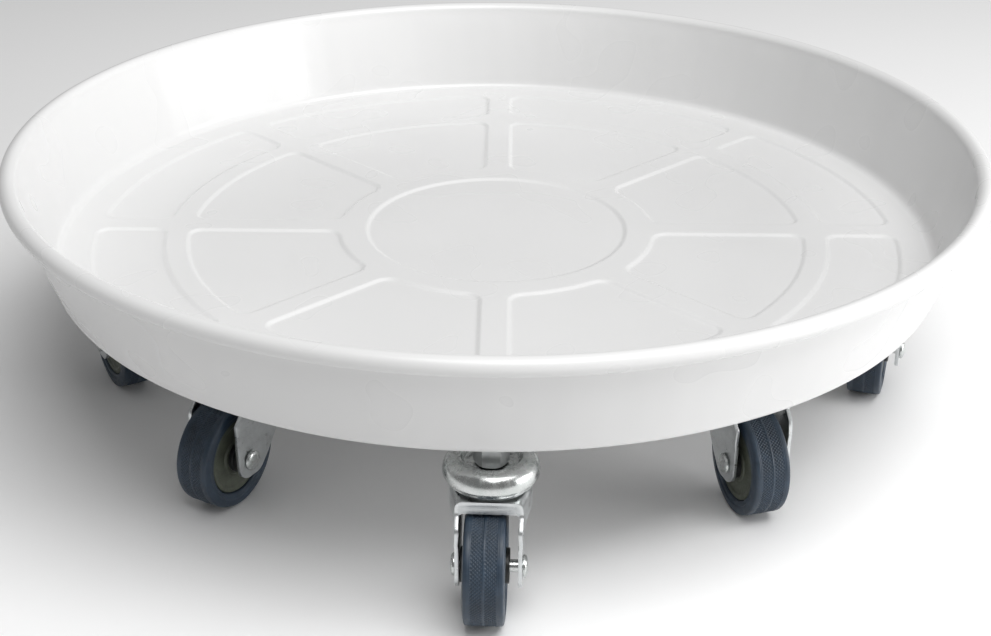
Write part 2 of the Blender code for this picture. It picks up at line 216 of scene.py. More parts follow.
def finish_mesh(mesh, sharp=None):
    """Welds the mesh, turns its faces outward and shades it smooth."""
    shape = bmesh.new()
    shape.from_mesh(mesh)
    bmesh.ops.remove_doubles(shape, verts=shape.verts, dist=WELD_DISTANCE)
    bmesh.ops.recalc_face_normals(shape, faces=shape.faces)
    shape.to_mesh(mesh)
    shape.free()
    mesh.shade_smooth()
    if sharp:
        mesh.set_sharp_from_angle(angle=math.radians(sharp))
    return mesh


def grid_mesh(name, grid, closed_rows, closed_columns, sharp=None):
    """A mesh of quads over an array of points (rows, columns, 3), in millimetres."""
    rows, columns = grid.shape[:2]
    index = np.arange(rows * columns).reshape(rows, columns)
    if closed_rows:
        index = np.vstack([index, index[:1]])
    if closed_columns:
        index = np.hstack([index, index[:, :1]])
    quads = np.stack([index[:-1, :-1], index[1:, :-1], index[1:, 1:], index[:-1, 1:]], axis=-1)
    mesh = bpy.data.meshes.new(name)
    mesh.from_pydata((grid.reshape(-1, 3) * MM).tolist(), [], quads.reshape(-1, 4).tolist())
    return finish_mesh(mesh, sharp)


def ring_angles(steps):
    return np.arange(steps) * 2.0 * math.pi / steps


def arc(centre, radii, first, last, count):
    """Points along an ellipse's arc, between two angles in degrees."""
    return [(centre[0] + radii[0] * math.cos(angle), centre[1] + radii[1] * math.sin(angle))
            for angle in np.radians(np.linspace(first, last, count))]


def turned(radius, angles, height):
    """The grid of points about Z at a radius, an angle and a height."""
    return np.stack(np.broadcast_arrays(radius * np.cos(angles), radius * np.sin(angles), height), axis=-1)


def both_sides(half):
    """A section and its mirror image, from points (radius, distance along the axis)."""
    return half + [(radius, -along) for radius, along in reversed(half)]


def lathe(name, profile, steps=96, sharp=None, closed=True):
    """A body turned about Z from (radius, height) points in millimetres."""
    profile = np.array(profile, float)
    grid = turned(profile[None, :, 0], ring_angles(steps)[:, None], profile[None, :, 1])
    return grid_mesh(name, grid, True, closed, sharp)


def along_axle(mesh):
    """Turns a body made about Z so that its axis lies along Y."""
    mesh.transform(Matrix.Rotation(math.radians(-90.0), 4, "X"))
    return mesh


def plate_mesh(name, outline, depth):
    """A flat plate from an outline in millimetres, centred on z = 0."""
    curve = bpy.data.curves.new(name, "CURVE")
    curve.dimensions = "2D"
    curve.fill_mode = "BOTH"
    curve.extrude = depth * MM / 2.0
    spline = curve.splines.new("POLY")
    spline.points.add(len(outline) - 1)
    for point, (x, y) in zip(spline.points, outline):
        point.co = (x * MM, y * MM, 0.0, 1.0)
    spline.use_cyclic_u = True
    holder = bpy.data.objects.new(name, curve)
    bpy.context.scene.collection.objects.link(holder)
    bpy.context.view_layer.update()
    mesh = bpy.data.meshes.new_from_object(holder.evaluated_get(bpy.context.evaluated_depsgraph_get()))
    bpy.data.objects.remove(holder)
    return finish_mesh(mesh)


def cut_and_join(name, base, tools, bevel=0.0, sharp=35.0):
    """Applies exact Booleans of (mesh, operation) tools to a base mesh, then rounds the sharp edges."""
    body = bpy.data.objects.new(name, base)
    helpers = []
    bpy.context.scene.collection.objects.link(body)
    for mesh, operation in tools:
        helper = bpy.data.objects.new(name + "_tool", mesh)
        bpy.context.scene.collection.objects.link(helper)
        boolean = body.modifiers.new(operation, "BOOLEAN")
        boolean.operation = operation
        boolean.solver = "EXACT"
        boolean.object = helper
        helpers.append(helper)
    if bevel:
        edge = body.modifiers.new("Bevel", "BEVEL")
        edge.width = bevel * MM
        edge.segments = 3
        edge.limit_method = "ANGLE"
        edge.angle_limit = math.radians(40.0)
        edge.use_clamp_overlap = True
    bpy.context.view_layer.update()
    mesh = bpy.data.meshes.new_from_object(body.evaluated_get(bpy.context.evaluated_depsgraph_get()))
    for helper in helpers + [body]:
        bpy.data.objects.remove(helper)
    mesh.name = name
    mesh.shade_smooth()
    mesh.set_sharp_from_angle(angle=math.radians(sharp))
    return mesh


def place(name, mesh, matrix, body, material, replaced=()):
    """One shown piece, in its place, riding on a body."""
    piece = bpy.data.objects.new(name, mesh)
    bpy.context.scene.collection.objects.link(piece)
    if not mesh.materials:
        mesh.materials.append(material)
    piece.matrix_world = matrix
    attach(piece, body)
    if replaced:
        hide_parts(*replaced)
    return piece


# ---------------------------------------------------------------- materials


class Shader:
    """A short way to write one material's nodes."""

    def __init__(self, name, colour, roughness, metallic=0.0):
        self.material = bpy.data.materials.new(name)
        self.material.use_nodes = True
        self.tree = self.material.node_tree
        self.surface = self.tree.nodes["Principled BSDF"]
        self.surface.inputs["Metallic"].default_value = metallic
        self.surface.inputs["Base Color"].default_value = (*colour, 1.0)
        self.surface.inputs["Roughness"].default_value = roughness
        self.place = self.add("ShaderNodeTexCoord").outputs["Object"]
        self.last_bump = None

    def add(self, kind, **values):
        node = self.tree.nodes.new(kind)
        for key, value in values.items():
            setattr(node, key, value)
        return node

    def link(self, source, target):
        self.tree.links.new(source, target)

    def scaled(self, stretch):
        mapping = self.add("ShaderNodeMapping")
        mapping.inputs["Scale"].default_value = stretch
        self.link(self.place, mapping.inputs["Vector"])
        return mapping.outputs["Vector"]

    def noise(self, scale, detail=3.0, roughness=0.55, stretch=None, distortion=0.0):
        node = self.add("ShaderNodeTexNoise")
        node.inputs["Scale"].default_value = scale
        node.inputs["Detail"].default_value = detail
        node.inputs["Roughness"].default_value = roughness
        node.inputs["Distortion"].default_value = distortion
        self.link(self.scaled(stretch) if stretch else self.place, node.inputs["Vector"])
        return node.outputs["Fac"]

    def spread(self, value, low, high, start=0.35, end=0.65):
        """Maps a texture's middle range onto low to high."""
        node = self.add("ShaderNodeMapRange")
        for key, number in zip(("From Min", "From Max", "To Min", "To Max"), (start, end, low, high)):
            node.inputs[key].default_value = number
        self.link(value, node.inputs["Value"])
        return node.outputs["Result"]

    def math(self, operation, first, second):
        node = self.add("ShaderNodeMath", operation=operation)
        for socket, value in zip(node.inputs, (first, second)):
            if isinstance(value, (int, float)):
                socket.default_value = value
            else:
                self.link(value, socket)
        return node.outputs["Value"]

    def ramp(self, value, stops):
        node = self.add("ShaderNodeValToRGB")
        elements = node.color_ramp.elements
        while len(elements) < len(stops):
            elements.new(0.5)
        for element, (position, colour) in zip(elements, stops):
            element.position = position
            element.color = (*colour, 1.0)
        self.link(value, node.inputs["Fac"])
        return node.outputs["Color"]

    def colour(self, output):
        self.link(output, self.surface.inputs["Base Color"])

    def roughness(self, output):
        self.link(output, self.surface.inputs["Roughness"])

    def bump(self, height, distance):
        """Adds a relief of a depth in millimetres to the bumps before it."""
        node = self.add("ShaderNodeBump")
        node.inputs["Strength"].default_value = 1.0
        node.inputs["Distance"].default_value = distance * MM
        self.link(height, node.inputs["Height"])
        if self.last_bump:
            self.link(self.last_bump, node.inputs["Normal"])
        self.last_bump = node.outputs["Normal"]
        self.link(self.last_bump, self.surface.inputs["Normal"])


def tint(colour, factor):
    return tuple(min(1.0, channel * factor) for channel in colour)


def white_plastic():
    """Moulded plastic: faint clouds of colour, uneven gloss, slow sink and a fine grain."""
    base = (0.700, 0.700, 0.698)
    shader = Shader("white_moulded_plastic", base, 0.36)
    shader.surface.inputs["IOR"].default_value = 1.48
    clouds = shader.noise(9.0, 1.0)
    shader.colour(shader.ramp(clouds, [(0.3, tint(base, 0.975)), (0.7, tint(base, 1.012))]))
    scuffs = shader.noise(40.0, 0.0)
    shader.roughness(shader.spread(shader.math("ADD", shader.noise(14.0, 2.0), scuffs), 0.25, 0.36, 0.7, 1.3))
    shader.bump(shader.noise(12.0, 0.0), 0.08)
    shader.bump(shader.noise(260.0, 1.0), 0.004)
    return shader.material


def zinc_sheet(name="zinc_plated_sheet", base=(0.640, 0.660, 0.665), rough=(0.27, 0.42),
               grain=(1.0, 1.0, 9.0)):
    """Zinc-plated pressed steel: faint drawing lines, mottled plate and small scratches."""
    shader = Shader(name, base, 0.33, 1.0)
    mottle = shader.noise(170.0, 5.0, 0.65)
    shader.colour(shader.ramp(mottle, [(0.3, tint(base, 0.86)), (0.55, base), (0.75, tint(base, 1.10))]))
    lines = shader.noise(420.0, 3.0, 0.6, stretch=grain)
    shader.roughness(shader.spread(shader.math("ADD", mottle, lines), *rough, 0.8, 1.2))
    shader.bump(lines, 0.010)
    shader.bump(shader.noise(90.0, 2.0), 0.05)
    return shader.material


def bright_zinc():
    """Bright plate: nearly polished, with a faint green-blue passivation and fine rings."""
    base = (0.600, 0.615, 0.610)
    shader = Shader("bright_zinc_plate", base, 0.17, 1.0)
    cloud = shader.noise(120.0, 4.0)
    shader.colour(shader.ramp(cloud, [(0.3, (0.540, 0.572, 0.560)), (0.7, (0.645, 0.650, 0.648))]))
    shader.roughness(shader.spread(shader.noise(320.0, 5.0, 0.7), 0.19, 0.33))
    shader.bump(shader.noise(240.0, 1.0), 0.003)
    return shader.material


def tyre_rubber():
    """Slate-blue rubber with a dusty bloom."""
    base = (0.022, 0.038, 0.060)
    shader = Shader("slate_blue_rubber", base, 0.50)
    shader.surface.inputs["IOR"].default_value = 1.50
    bloom = shader.noise(120.0, 5.0, 0.6)
    dust = shader.noise(520.0, 4.0, 0.7)
    mixed = shader.math("ADD", shader.math("MULTIPLY", bloom, 0.7), shader.math("MULTIPLY", dust, 0.3))
    shader.colour(shader.ramp(mixed, [(0.32, tint(base, 0.72)), (0.5, base), (0.68, tint(base, 1.45))]))
    shader.roughness(shader.spread(dust, 0.34, 0.52))
    shader.bump(dust, 0.012)
    shader.bump(shader.noise(2200.0, 2.0), 0.004)
    return shader.material


def hub_plastic():
    """Grey-green moulded plastic with flow marks."""
    base = (0.075, 0.084, 0.062)
    shader = Shader("grey_green_plastic", base, 0.48)
    flow = shader.noise(140.0, 4.0, 0.6, distortion=0.8)
    shader.colour(shader.ramp(flow, [(0.3, tint(base, 0.80)), (0.7, tint(base, 1.22))]))
    shader.roughness(shader.spread(shader.noise(600.0, 4.0), 0.38, 0.58))
    shader.bump(shader.noise(1500.0, 2.0), 0.006)
    return shader.material


def black_bushing():
    """Black plastic, slightly scuffed."""
    base = (0.011, 0.012, 0.012)
    shader = Shader("black_bushing_plastic", base, 0.42)
    shader.colour(shader.ramp(shader.noise(260.0, 3.0), [(0.3, tint(base, 0.7)), (0.7, tint(base, 1.7))]))
    shader.roughness(shader.spread(shader.noise(500.0, 3.0), 0.32, 0.52))
    shader.bump(shader.noise(1300.0, 2.0), 0.005)
    return shader.material


def oiled_steel():
    """Dark steel under a film of grease."""
    base = (0.12, 0.13, 0.125)
    shader = Shader("oiled_race_steel", base, 0.35, 1.0)
    shader.colour(shader.ramp(shader.noise(300.0, 4.0), [(0.3, tint(base, 0.5)), (0.7, tint(base, 1.6))]))
    shader.roughness(shader.spread(shader.noise(420.0, 3.0), 0.25, 0.50))
    shader.bump(shader.noise(800.0, 2.0), 0.006)
    return shader.material


# ---------------------------------------------------------------- tray


def tray_angles():
    """Angles round the tray, closer together over the spokes' flanks."""
    near = []
    pitch = 2.0 * math.pi / CASTER_COUNT
    fine_half = math.asin((RIB_HALF_WIDTH + RIB_FLANK) / INNER_PANEL_RADII[0])
    for spoke in range(CASTER_COUNT):
        centre = spoke * pitch
        near += list(centre + np.linspace(-fine_half, fine_half, 84, endpoint=False))
        near += list(centre + np.linspace(fine_half, pitch - fine_half, 52, endpoint=False))
    return np.array(near)


def panel_depth(radius, angle):
    """How far inside a recessed panel a point of the floor is, in millimetres: negative outside."""
    pitch = 2.0 * math.pi / CASTER_COUNT
    off_spoke = np.abs((angle + pitch / 2.0) % pitch - pitch / 2.0)
    from_spoke = radius * np.sin(off_spoke) - RIB_HALF_WIDTH
    inside = CENTRE_DISC_RADIUS - radius
    for low, high in (INNER_PANEL_RADII, OUTER_PANEL_RADII):
        radial = np.maximum(low - radius, radius - high)
        first = radial + PANEL_CORNER
        second = -from_spoke + PANEL_CORNER
        corner = np.hypot(np.maximum(first, 0.0), np.maximum(second, 0.0))
        sector = np.minimum(np.maximum(first, second), 0.0) + corner - PANEL_CORNER
        inside = np.maximum(inside, -sector)
    return inside


def smooth_step(value):
    value = np.clip(value, 0.0, 1.0)
    return value * value * (3.0 - 2.0 * value)


def floor_radii(outermost):
    """Radii across the floor, closer together over each circular rib's flanks."""
    edges = [CENTRE_DISC_RADIUS, *INNER_PANEL_RADII, *OUTER_PANEL_RADII]
    radii = set(np.linspace(0.0, outermost, 60))
    for edge in edges:
        radii |= set(np.linspace(edge - RIB_FLANK - 0.5, edge + RIB_FLANK + 0.5, 13))
    for low, high in (INNER_PANEL_RADII, OUTER_PANEL_RADII):
        radii |= set(np.linspace(low, low + PANEL_CORNER, 7))
        radii |= set(np.linspace(high - PANEL_CORNER, high, 7))
    return np.array(sorted(radii))


def floor_level():
    """The height of the floor at the ring round its middle, in millimetres."""
    points = node_points("tray") / MM
    radial = np.hypot(points[:, 0], points[:, 1])
    near_ring = (radial < CENTRE_DISC_RADIUS + 8.0) & (radial > CENTRE_DISC_RADIUS - 4.0)
    return points[near_ring][:, 2].max()


def wall_section(rim, rim_height, floor_top):
    """The tray's section past its floor: up inside, round the bead and its groove, down outside."""
    underside = floor_top - FLOOR_THICKNESS
    bead = arc((rim - BEAD, rim_height), (BEAD, BEAD), *BEAD_ARC, 34)
    inner = rounded([
        (FLOOR_EDGE - 20.0, floor_top, 0.0),
        (FOOT_RADIUS - WALL - 0.1, floor_top, FLOOR_CORNER),
        (rim - 2.0 * BEAD - 0.1, rim_height - 0.5, 0.0),
    ], 15.0)[1:-1]
    groove = np.array([rim - 1.45 * BEAD, rim_height - 0.50 * BEAD])
    top = np.array([rim - 7.2, rim_height - 1.28 * BEAD])
    foot = np.array([FOOT_RADIUS, underside + 4.0])
    neck = [tuple((bead[-1] + groove) / 2.0), tuple(groove), tuple((groove + top) / 2.0)]
    outer = []
    for share in np.linspace(0.0, 1.0, 22):
        radius, height = top + (foot - top) * share
        outer.append((radius + WALL_BULGE * 4.0 * share * (1.0 - share), height))
    edge = arc((FOOT_RADIUS - FOOT_ROUND, underside + FOOT_ROUND), (FOOT_ROUND, FOOT_ROUND), -8.0, -90.0, 12)
    return resample([*inner, bead[0]], WALL_SPACING, 6) + bead[1:] + neck + outer + edge


def wall_ripple(angles):
    """The slow ripples that a large moulding keeps after cooling, in millimetres."""
    waves = 0.07 * np.sin(23.0 * angles + 0.8) + 0.05 * np.sin(41.0 * angles) + 0.03 * np.sin(97.0 * angles)
    return 0.12 + waves


def tray_mesh():
    """One closed moulding: ribbed floor, tapering wall, rolled rim and a matching underside."""
    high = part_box("tray")[1]
    rim = high.x / MM
    rim_height = high.z / MM - BEAD
    floor_top = floor_level()
    underside = floor_top - FLOOR_THICKNESS
    radii = floor_radii(FLOOR_EDGE)
    wall = wall_section(rim, rim_height, floor_top)
    profile = np.array([(r, floor_top) for r in radii] + wall + [(r, underside) for r in radii[::-1]])
    place_in_section = np.arange(len(profile))[None, :]
    on_floor = place_in_section < len(radii)
    on_underside = place_in_section >= len(profile) - len(radii)
    angles = tray_angles()[:, None]
    radius = np.repeat(profile[None, :, 0], len(angles), axis=0)
    height = np.repeat(profile[None, :, 1], len(angles), axis=0)
    sunk = smooth_step(panel_depth(radius, angles) / RIB_FLANK + 0.35)
    fade_radius, fade_width = UNDERSIDE_FADE
    near_edge = smooth_step((fade_radius - radius) / fade_width)
    height = np.where(on_floor, height - RIB_HEIGHT * sunk, height)
    height = np.where(on_underside, height + RIB_HEIGHT * (1.0 - sunk) * near_edge, height)
    share = smooth_step((height - underside - 2.0) / 8.0) * smooth_step((rim_height - 2.0 - height) / 6.0)
    radius = radius - np.where(on_floor | on_underside, 0.0, share * wall_ripple(angles))
    return grid_mesh("tray_moulding", turned(radius, angles, height), True, False), underside


def resample(points, spacing, least):
    """Points at even steps along a line, both ends included."""
    points = np.array(points, float)
    lengths = np.r_[0.0, np.cumsum(np.linalg.norm(np.diff(points, axis=0), axis=1))]
    count = max(least, int(lengths[-1] / spacing))
    along = np.linspace(0.0, lengths[-1], count)
    return list(zip(np.interp(along, lengths, points[:, 0]), np.interp(along, lengths, points[:, 1])))


def boss_mesh(underside, foot):
    """The boss over a stem: a flared root, a chamfered mouth and the bore that the stem screws into."""
    root = underside + 1.6
    return lathe("stem_boss", rounded([
        (BOSS_BORE, foot, 0.3),
        (BOSS_RADIUS, foot, 0.6),
        (BOSS_RADIUS, underside, 1.4),
        (BOSS_RADIUS + BOSS_FLARE, underside + 0.15, 0.0),
        (BOSS_RADIUS + BOSS_FLARE, root, 0.0),
        (BOSS_BORE, root, 0.0),
    ]), 64)


# ---------------------------------------------------------------- caster pieces


def dome_mesh(number):
    """The pressed dome: a dish that the nut sits in, a rolled shoulder and a turned-in foot."""
    low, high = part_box(f"dome_{number}")
    foot, top = low.z / MM, high.z / MM
    widest = radius_about(f"dome_{number}", caster_frame(number)[0])
    shoulder = top - DOME_SHOULDER
    dish = top - DISH_DEPTH
    crown = DOME_CROWN_RADIUS
    inner_crown = crown - 0.6
    outer = arc((crown, shoulder), (widest - crown, DOME_SHOULDER), 90.0, 0.0, 16)
    inner = arc((inner_crown, shoulder), (widest - DOME_WALL - inner_crown, DOME_SHOULDER - DOME_WALL),
                10.0, 90.0, 9)
    skirt = rounded([
        (widest, shoulder, 0.0),
        (widest - 0.1, shoulder - 1.0, 0.4),
        (widest - 1.0, foot + 0.9, 1.0),
        (widest - 1.2, foot, 0.3),
        (widest - 2.4, foot, 0.3),
        (widest - 1.9, shoulder - 0.2, 1.0),
    ])[1:]
    sunk = rounded([
        (crown - 1.6, top - DOME_WALL, 0.8),
        (crown - 2.3, dish - DOME_WALL, 0.8),
        (DOME_BORE, dish - DOME_WALL, 0.2),
        (DOME_BORE, dish, 0.2),
        (crown - 3.0, dish, 1.2),
        (crown - 1.3, top, 1.0),
        (crown, top, 0.0),
    ])[:-1]
    return lathe("pressed_dome", outer + skirt + inner + sunk, 128, sharp=60.0)


def nut_mesh(number):
    """A hexagon nut with chamfered corners on both faces and a countersunk hole."""
    swivel = caster_frame(number)[0]
    name = f"lock_nut_{number}"
    low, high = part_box(name)
    corner = radius_about(name, swivel)
    height = (high.z - low.z) / MM + NUT_SINK
    points = (node_points(name) - np.array(swivel))[:, :2]
    far = points[np.argmax(np.linalg.norm(points, axis=1))]
    turn = math.degrees(math.atan2(far[1], far[0]))
    hexagon = arc((0.0, 0.0), (corner, corner), turn, turn + 300.0, 6)
    face = corner * math.cos(math.pi / 6.0) - 0.2
    half = height / 2.0
    side = half - NUT_CHAMFER
    barrel = [(0.0, half), (face, half), (corner + 0.4, side)]
    hole = [(0.0, half + 1.0), (NUT_COUNTERSINK, half + 1.0), (NUT_HOLE, half - 0.7)]
    tools = [(lathe("nut_barrel", both_sides(barrel), 72, closed=False), "INTERSECT"),
             (lathe("nut_hole", both_sides(hole), 48, closed=False), "DIFFERENCE")]
    mesh = cut_and_join("hex_nut", plate_mesh("nut_hex", hexagon, height), tools, bevel=0.12, sharp=25.0)
    mesh.transform(Matrix.Translation((0.0, 0.0, high.z - height * MM / 2.0)))
    return mesh


def stem_mesh(number):
    """The kingpin: a thread above, a plain shank through the race and a rolled-over head under the fork."""
    low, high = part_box(f"stem_{number}")
    foot, top = low.z / MM, high.z / MM
    thread_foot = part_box(f"lock_nut_{number}")[0].z / MM - 0.2
    head = rounded([
        (0.0, foot, 0.0),
        (3.4, foot, 0.5),
        (4.6, foot + 0.2, 0.8),
        (RIVET_RADIUS, foot + 1.5, 0.5),
        (RIVET_RADIUS, foot + 2.0, 0.2),
        (SHANK_RADIUS, foot + 2.0, 0.0),
    ])
    shank = [(SHANK_RADIUS, height) for height in np.linspace(foot + 2.2, thread_foot, 8)]
    thread = [(THREAD_RADIUS, height) for height in np.arange(thread_foot + 0.1, top - 0.9, THREAD_STEP)]
    tip = [(3.5, top - 0.7), (3.0, top), (0.0, top)]
    profile = np.array(head + shank + thread + tip)
    radii, heights = profile[None, :, 0], profile[None, :, 1]
    angles = ring_angles(48)[:, None]
    turn = (heights / THREAD_PITCH - angles / (2.0 * math.pi)) % 1.0
    groove = THREAD_DEPTH * (1.0 - np.abs(2.0 * turn - 1.0)) ** 1.3
    fade = smooth_step((heights - thread_foot) / 1.2) * smooth_step((top - 0.6 - heights) / 0.8)
    grid = turned(radii - groove * fade, angles, heights)
    return grid_mesh("threaded_kingpin", grid, True, False, sharp=50.0)


def axle_mesh(number):
    """A pin with a low domed head outside each arm, and a faint flat on each crown."""
    _, _, axle, centre = caster_frame(number)
    end = reach(f"axle_{number}", centre, axle)[1]
    head = reach(f"axle_{number}", centre, (0.0, 0.0, 1.0))[1]
    seat = end - PIN_HEAD_DEPTH
    rim = seat + 0.6
    crown = arc((PIN_FLAT_RADIUS, rim), (head - PIN_FLAT_RADIUS, end - rim), 90.0, 0.0, 12)
    neck = rounded([(head, rim, 0.0), (head, seat, 0.25), (PIN_RADIUS, seat, 0.0)])[1:]
    half = [(0.0, end), *crown, *neck]
    return along_axle(lathe("axle_pin", both_sides(half), 64, sharp=60.0, closed=False))


def race_meshes(number):
    """The ball race seen in the gap: the fork's raised track, and a cage with its balls."""
    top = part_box(f"fork_{number}")[1].z / MM
    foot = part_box(f"dome_{number}")[0].z / MM
    track = lathe("race_track", rounded([
        (9.0, top + 0.02, 0.0),
        (17.0, top + 0.02, 0.0),
        (17.0, top + 0.5, 0.3),
        (16.3, top + 1.0, 0.4),
        (15.0, top + 0.5, 0.8),
        (13.0, top + 0.5, 0.8),
        (11.0, top + 1.3, 0.8),
        (9.0, top + 1.3, 0.4),
    ]), 96)
    inside, outside = CAGE_RADII
    ring = lathe("cage_ring", rounded([
        (inside, foot, 0.3),
        (outside, foot, 0.3),
        (outside, foot + CAGE_HEIGHT, 0.3),
        (inside, foot + CAGE_HEIGHT, 0.3),
    ]), 72)
    cage = bmesh.new()
    cage.from_mesh(ring)
    for angle in ring_angles(BALL_COUNT):
        spot = Vector((BALL_CIRCLE * math.cos(angle), BALL_CIRCLE * math.sin(angle), foot + 0.5)) * MM
        bmesh.ops.create_uvsphere(cage, u_segments=20, v_segments=12, radius=BALL_RADIUS * MM,
                                  matrix=Matrix.Translation(spot))
    balls = bpy.data.meshes.new("ball_cage")
    cage.to_mesh(balls)
    cage.free()
    balls.shade_smooth()
    return track, balls


def across_x(mesh):
    """Turns a plate drawn in XY so that it lies across X, with the drawing's y upwards."""
    mesh.transform(Matrix(((0, 0, 1, 0), (1, 0, 0, 0), (0, 1, 0, 0), (0, 0, 0, 1))))
    return mesh


def across_y(mesh):
    """Turns a plate drawn in XY so that it lies across Y, with the drawing's y upwards."""
    mesh.transform(Matrix(((1, 0, 0, 0), (0, 0, -1, 0), (0, 1, 0, 0), (0, 0, 0, 1))))
    return mesh


def shape_shoulder(mesh, joggle):
    """Draws the channel's wide part in, in a smooth curve from over the swivel to the front."""
    shape = bmesh.new()
    shape.from_mesh(mesh)
    for cut in np.linspace(TAPER_START, PLATE_FRONT, 12):
        everything = shape.verts[:] + shape.edges[:] + shape.faces[:]
        bmesh.ops.bisect_plane(shape, geom=everything, plane_co=(cut * MM, 0.0, 0.0),
                               plane_no=(1.0, 0.0, 0.0))
    for vertex in shape.verts:
        along = smooth_step((vertex.co.x / MM - TAPER_START) / (PLATE_FRONT - TAPER_START))
        height = smooth_step((vertex.co.z / MM - joggle + JOGGLE_REACH) / (2.0 * JOGGLE_REACH))
        wide = smooth_step((abs(vertex.co.y) / MM - (ARM_TOP - 8.0)) / 5.0)
        vertex.co.y -= math.copysign(FRONT_INSET * along * height * wide * MM, vertex.co.y)
    shape.to_mesh(mesh)
    shape.free()


def fork_section(top, foot, joggle):
    """The folded sheet seen from the front: wide above the joggle, narrow below it."""
    low, bend = joggle - JOGGLE_REACH, joggle + JOGGLE_REACH
    outer = [(-ARM_FOOT, foot - 2.0, 0.0), (-ARM_FOOT, low, 5.0), (-ARM_TOP, bend, 6.0), (-ARM_TOP, top, 3.2)]
    foot_gap, top_gap = ARM_FOOT - SHEET, ARM_TOP - SHEET
    inner = [(foot_gap, foot - 2.0, 0.0), (foot_gap, low, 5.0), (top_gap, bend, 6.0)]
    inner.append((top_gap, top - SHEET, 1.6))
    mirrored = [(-x, y, r) for x, y, r in reversed(outer)]
    return rounded(outer + mirrored + inner + [(-x, y, r) for x, y, r in reversed(inner)], 9.0)


def fork_side(trail_length, axle_height, rear, top):
    """The fork seen from its side: a plate over the swivel, and arms narrowing to round feet."""
    foot = ARM_FOOT_RADIUS
    return rounded([
        (trail_length - 0.75 * foot, axle_height - foot, 0.9 * foot),
        (trail_length + foot, axle_height - foot, 0.98 * foot),
        (trail_length + 8.9, axle_height + 11.0, 0.0),
        (trail_length + 8.7, axle_height + 21.0, 4.0),
        (PLATE_FRONT, axle_height + 26.5, 3.0),
        (PLATE_FRONT, top + 6.0, 0.0),
        (rear, top + 6.0, 0.0),
        (rear, top - 4.6, 4.0),
        (trail_length - 19.6, axle_height + 7.5, 12.0),
        (trail_length - 13.2, axle_height - 1.0, 6.0),
    ], 6.0)


def fork_lip(lip_top):
    """The front lip with its ends turned down into the arms in round inside corners."""
    half = ARM_TOP - FRONT_INSET - 0.5
    inside = half - 0.9
    low = lip_top - LIP_HEIGHT
    right = [(half, lip_top, 2.4), (half, low - 5.0, 0.0), (inside, low - 5.0, 0.0), (inside, low, 2.2)]
    outline = rounded(right + [(-x, y, r) for x, y, r in reversed(right)], 9.0)
    lip = across_x(plate_mesh("fork_lip", outline, SHEET))
    lip.transform(Matrix.Translation(((PLATE_FRONT - SHEET / 2.0 - 0.02) * MM, 0.0, 0.0)))
    return lip


def fork_mesh(number):
    """The pressed fork: a folded sheet with joggled arms, round feet, a dropped front lip and soft edges."""
    swivel, trail, _, centre = caster_frame(number)
    name = f"fork_{number}"
    low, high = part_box(name)
    top, foot = high.z / MM, low.z / MM
    rear = reach(name, swivel, trail)[0]
    trail_length = (centre - swivel).dot(trail) / MM
    axle_height = centre.z / MM
    joggle = axle_height + JOGGLE_HEIGHT
    channel = across_x(plate_mesh("fork_channel", fork_section(top, foot, joggle), CHANNEL_LENGTH))
    shape_shoulder(channel, joggle)
    side = across_y(plate_mesh("fork_side", fork_side(trail_length, axle_height, rear, top), FORK_WIDTH))
    upper, lower = top + 3.0, top - 4.0
    bore = [(0.0, upper), (KINGPIN_HOLE, upper), (KINGPIN_HOLE, lower), (0.0, lower)]
    kingpin = lathe("kingpin_hole", bore, 48, closed=False)
    half_pin = [(0.0, FORK_WIDTH / 2.0), (PIN_HOLE, FORK_WIDTH / 2.0)]
    pin = along_axle(lathe("axle_hole", both_sides(half_pin), 40, closed=False))
    pin.transform(Matrix.Translation((trail_length * MM, 0.0, centre.z)))
    lip = fork_lip(top - 0.3)
    tools = [(side, "INTERSECT"), (lip, "UNION"), (kingpin, "DIFFERENCE"), (pin, "DIFFERENCE")]
    return cut_and_join("pressed_fork", channel, tools, bevel=FORK_EDGE, sharp=30.0)


# ---------------------------------------------------------------- wheel pieces


def tread_height(around, across):
    """The knurled bands: crossing diagonal grooves either side of the parting line, in millimetres."""
    phase = TREAD_COUNT * around
    slant = across * 2.0 * math.pi / TREAD_PITCH
    one = 0.5 + 0.5 * np.cos(phase + slant)
    two = 0.5 + 0.5 * np.cos(phase - slant)
    groove = np.maximum(one ** 3.0, 0.8 * two ** 3.0)
    distance = np.abs(across)
    band = smooth_step((distance - TREAD_INNER) / 0.4) * smooth_step((TREAD_OUTER - distance) / 0.6)
    seam = SEAM_HEIGHT * (np.exp(-((across / SEAM_WIDTH) ** 2)) - 1.0)
    return -TREAD_DEPTH * groove * band + seam


